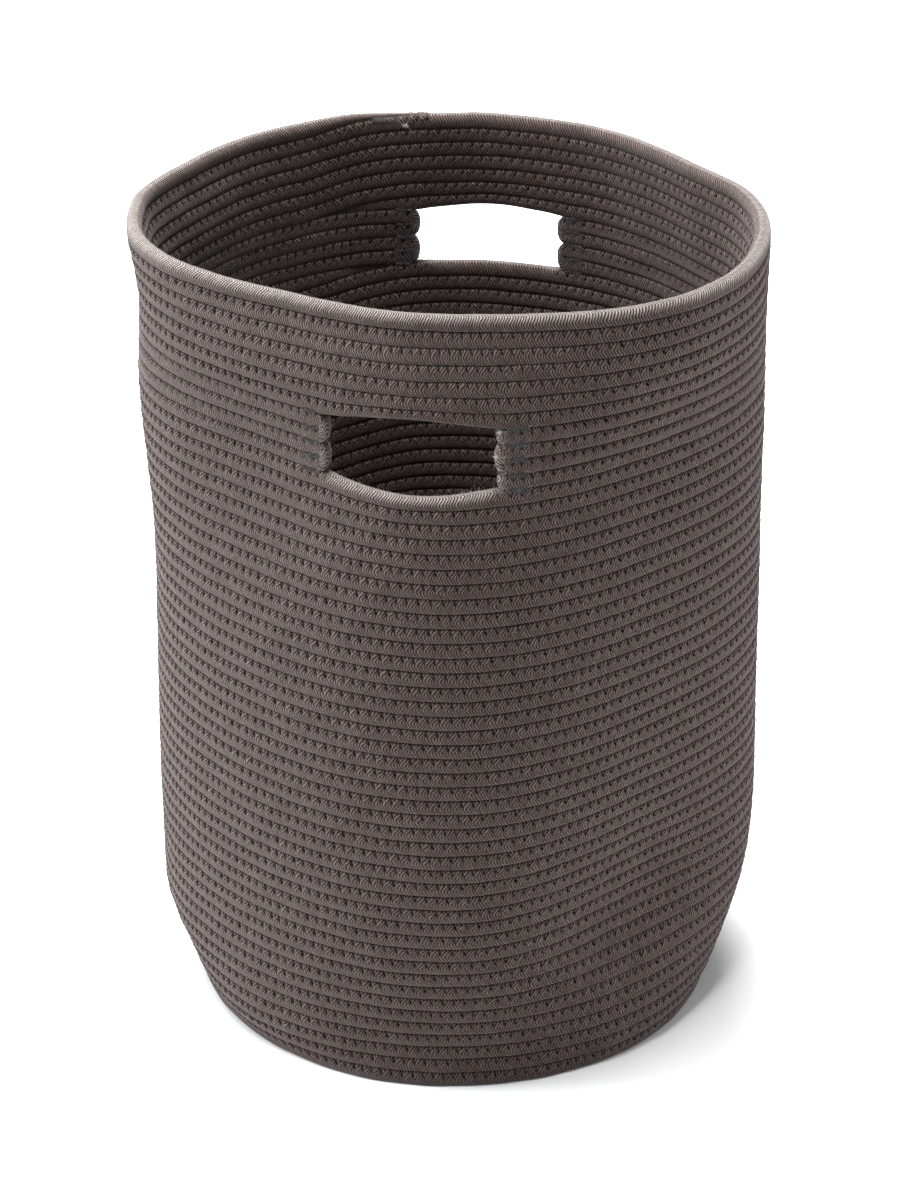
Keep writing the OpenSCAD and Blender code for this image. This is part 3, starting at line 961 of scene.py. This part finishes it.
def build_rim_tack():
    """The thread over the rope's tapered end, along the inner edge of the rim's top."""
    start, stop = spread("rim_tack", True)
    rng = np.random.default_rng(450)
    runs = []
    for layer in range(2):
        count = int((stop - start) * REACH / (0.36 * MM))
        angle = np.linspace(start, stop, count) + rng.normal(0, 0.3, count) * (stop - start) / count
        low = np.arange(count) % 2 == 0
        t = np.linspace(0, 1, 6, endpoint=False)
        place = np.where(low, 0.0, 0.92) * rng.uniform(0.75, 1.05, count)
        share, way = in_steps(place, t), in_steps(angle, t)
        # round the rope's inner shoulder, from the seam on the inner face to the top
        shoulder = math.pi / 2 * share * 1.05 - 0.35
        proud = 0.05 * MM + 0.12 * MM * layer
        radius = ROPE / 2 + proud - 0.9 * MM * (np.abs(share - 0.5) * 2) ** 3
        depth = ROPE / 2 + radius * np.cos(shoulder)
        height = BASKET_HEIGHT - ROPE / 2 + radius * np.sin(shoulder) - 0.6 * MM
        runs.append(wall.point(way, np.minimum(height, BASKET_HEIGHT + 1 * MM), depth))
    piece = thread_mesh("rim_tack_thread", runs, 0.2 * MM, tack_thread)
    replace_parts(piece, "rim_tack")


# Numbers of loose fibres: on the wall, on the rim, at each turn and beside each slot end
WALL_FIBRES, RIM_FIBRES, TURN_FIBRES, TACK_FIBRES = 5200, 1500, 260, 700


def scattered_fibres(name, angle, z, depth, outward, length, radius, material, seed):
    """Loose fibres rooted at places on the wall, each leaning its own way."""
    rng = np.random.default_rng(seed)
    roots = wall.point(angle, z, depth)
    away = outwards(angle) * outward[:, None]
    ways = away * rng.uniform(0.2, 1.0, len(angle))[:, None] + rng.normal(0, 0.7, (len(angle), 3))
    fibres(name, roots, unit(ways), length, radius, material, seed + 1)


def either_face(outside, sunk, lean=1.0):
    """Depths just under the outer or the inner face, and how far fibres there lean from the axis."""
    return np.where(outside, sunk, ROPE - sunk), np.where(outside, lean, -lean)


def build_fuzz():
    """Short loose cotton fibres over the whole cover, and longer ones on its worn edges."""
    rng = np.random.default_rng(600)
    count = WALL_FIBRES
    z = rng.uniform(0.004, BASKET_HEIGHT - 0.004, count)
    angle = rng.uniform(0, TURN, count)
    in_slot = (z > SLOT_BOTTOM) & (z < SLOT_TOP) & ~over_a_panel(angle)
    z, angle = z[~in_slot], angle[~in_slot]
    # most fibres rise near the seams
    course = np.floor(z / PITCH)
    z = np.where(rng.random(len(z)) < 0.6, (course + 0.86 + 0.12 * rng.random(len(z))) * PITCH, z)
    outside = rng.random(len(z)) < 0.7
    scattered_fibres("wall_fuzz", angle, z, *either_face(outside, 0.1 * MM),
                     rng.uniform(0.7, 2.0, len(z)) * MM, 0.05 * MM, fuzz, 610)
    # the rim's top
    count = RIM_FIBRES
    angle = rng.uniform(0, TURN, count)
    depth = rng.uniform(0.1, 0.9, count) * ROPE
    z = BASKET_HEIGHT - ROPE / 2 * (1 - np.sqrt(1 - (2 * depth / ROPE - 1) ** 2)) - 0.2 * MM
    scattered_fibres("rim_fuzz", angle, z, depth, np.zeros(count) + 0.2,
                     rng.uniform(0.6, 2.2, count) * MM, 0.055 * MM, pale_fuzz, 620)
    # the lower edges of the two slots, most frayed at the right of the front one
    runs = ((LEFT[1], TURN + RIGHT[0], 300, 1.6), (RIGHT[1], LEFT[0], 240, 1.4),
            (TURN + RIGHT[0] - 0.14, TURN + RIGHT[0], 90, 4.0))
    for number, (start, stop, count, longest) in enumerate(runs):
        angle = rng.uniform(start, stop, count)
        depth = rng.uniform(0.05, 0.9, count) * ROPE
        z = SLOT_BOTTOM + wall.lift(angle, SLOT_BOTTOM) - 0.3 * MM - 1.6 * MM * (2 * depth / ROPE - 1) ** 2
        scattered_fibres(f"slot_edge_fuzz_{number + 1}", angle, z, depth, np.zeros(count) + 0.3,
                         rng.uniform(0.3, 1.0, count) * longest * MM, 0.06 * MM,
                         pale_fuzz if number < 2 else pale_thread, 630 + 10 * number)
    # the turns at the slots' ends
    for number, (edge, way) in enumerate(SLOT_ENDS):
        count = TURN_FIBRES
        z = rng.uniform(SLOT_BOTTOM + MM, SLOT_TOP - MM, count)
        into = (0.5 + 5.5 * rng.random(count)) * MM / wall.reach(np.full(count, edge), z)
        outside = rng.random(count) < 0.75
        scattered_fibres(f"turn_fuzz_{number + 1}", edge + way * into, z, *either_face(outside, 0.5 * MM),
                         rng.uniform(0.5, 2.2, count) * MM, 0.055 * MM, pale_fuzz, 700 + 10 * number)


def build_tack_fuzz():
    """The rope's cover is pricked rough beside each slot end, over the length of the tacks."""
    for number, (edge, way) in enumerate(SLOT_ENDS):
        rng = np.random.default_rng(760 + number)
        count = TACK_FIBRES
        z = rng.uniform(SLOT_BOTTOM - 2 * MM, SLOT_TOP + 2 * MM, count)
        into = (3 + 20 * rng.random(count) ** 1.3) * MM / wall.reach(np.full(count, edge), z)
        outside = rng.random(count) < 0.7
        scattered_fibres(f"tack_fuzz_{number + 1}", edge + way * into, z,
                         *either_face(outside, 0.15 * MM, 0.5),
                         rng.uniform(0.8, 2.4, count) * MM, 0.075 * MM, fuzz, 770 + 10 * number)


def tuft(name, angle, z, depth, count, length, radius, seed, outward=1.0, rise=0.0):
    """A frayed end: fibres that spring from nearly the same place."""
    rng = np.random.default_rng(seed)
    spots = angle + rng.normal(0, 0.6 * MM / REACH, count)
    roots = wall.point(spots, z + rng.normal(0, 0.4 * MM, count), depth + rng.normal(0, 0.3 * MM, count))
    ways = outwards(spots) * outward + rng.normal(0, 0.5, (count, 3)) + np.array([0, 0, rise])
    fibres(name, roots, unit(ways), rng.uniform(0.5, 1.0, count) * length, radius, pale_thread,
           seed + 1)


def build_loose_ends():
    """The knot and the frayed ends of thread at the rope's end on the rim, and at the front slot."""
    knot = math.radians(100)
    t = np.linspace(0, 3 * TURN, 40)
    curl = [wall.point(knot + 0.7 * MM / REACH * np.cos(t), BASKET_HEIGHT - 2.7 * MM + 0.7 * MM * np.sin(t),
                       ROPE - 1.0 * MM + 0.5 * MM * np.sin(1.7 * t))]
    thread_mesh("rim_knot", curl, 0.32 * MM, pale_thread)
    tuft("rim_frayed_end", math.radians(98.8), BASKET_HEIGHT - 5.8 * MM, ROPE + 0.1 * MM, 46, 2.6 * MM,
         0.09 * MM, 810, outward=-1.0)
    s = np.linspace(0, 1, 14)
    drop = 0.1 * MM - 5.5 * MM * s**1.3
    stray = wall.point(math.radians(97) + s * math.radians(1.6), BASKET_HEIGHT + drop,
                       ROPE * (0.55 + 0.5 * s) + 0.3 * MM * np.sin(3 * s))
    thread_mesh("rim_stray_thread", [stray], 0.2 * MM, pale_thread)
    corner = TURN + RIGHT[0]
    tuft("slot_corner_tuft", corner + 2 * MM / REACH, SLOT_TOP - 1.0 * MM, 0.3 * MM, 30, 2.4 * MM,
         0.08 * MM, 820, rise=-0.6)
    tip = np.linspace(0, 1, 10)
    point = [wall.point(corner + (0.8 - 4.2 * tip + 0.5 * k) * MM / REACH,
                        SLOT_BOTTOM + 2.15 * PITCH + (1.8 * tip**1.5 + 0.35 * k * (1 - tip)) * MM,
                        1.5 * MM + 0 * tip) for k in range(4)]
    thread_mesh("slot_pointed_fibre", point, [0.16 * MM * (1.05 - tip)] * 4, pale_thread)


build_walls()
build_panels()
build_base()
build_threads()
build_fuzz()
build_tack_fuzz()
build_loose_ends()
build_rim_tack()


# ---- studio

def build_floor():
    points = 9.0 * np.array([[-1, -1, 0], [1, -1, 0], [1, 1, 0], [-1, 1, 0]])
    floor = make_mesh("floor", points, np.array([[0, 1, 2, 3]]), floor_material())


def add_light(name, place, target, width, height, power, colour=(1, 1, 1)):
    data = bpy.data.lights.new(name, "AREA")
    data.shape = "RECTANGLE"
    data.size, data.size_y = width, height
    data.energy = power
    data.color = colour
    light = bpy.data.objects.new(name, data)
    light.location = place
    light.rotation_euler = (Vector(target) - Vector(place)).to_track_quat("-Z", "Y").to_euler()
    bpy.context.scene.collection.objects.link(light)


def build_studio():
    world = bpy.data.worlds.new("studio")
    world.use_nodes = True
    sky = world.node_tree.nodes["Background"].inputs
    sky["Color"].default_value = (0.95, 0.97, 1.0, 1)
    sky["Strength"].default_value = 0.42
    bpy.context.scene.world = world
    middle = (0, 0, 0.25)
    add_light("overhead", (-0.38, 0.2, 2.4), middle, 2.2, 1.7, 170)
    add_light("back", (-0.2, 2.3, 1.9), (0, 0, 0.45), 1.6, 1.0, 60)
    add_light("left_side", (-2.3, 0.2, 1.1), (0, 0, 0.33), 1.4, 1.4, 73, (0.92, 0.97, 1.0))
    add_light("right_edge", (2.3, 0.8, 0.35), middle, 0.9, 0.7, 28)
    bpy.context.scene.view_settings.view_transform = "Standard"


def build_camera():
    middle = (CAD_BOX[0] + CAD_BOX[1]) / 2
    target = middle + Vector((1.5, 0, -4.7)) * MM
    tilt = math.radians(25.82)
    distance = 3.15
    camera = bpy.data.cameras.new("camera")
    camera.lens = 152.0
    camera.sensor_width = 36
    camera.clip_end = 50
    view = bpy.data.objects.new("camera", camera)
    view.location = target + distance * Vector((0, -math.cos(tilt), math.sin(tilt)))
    view.rotation_euler = (math.pi / 2 - tilt, 0, 0)
    bpy.context.scene.collection.objects.link(view)
    bpy.context.scene.camera = view


build_floor()
build_studio()
build_camera()
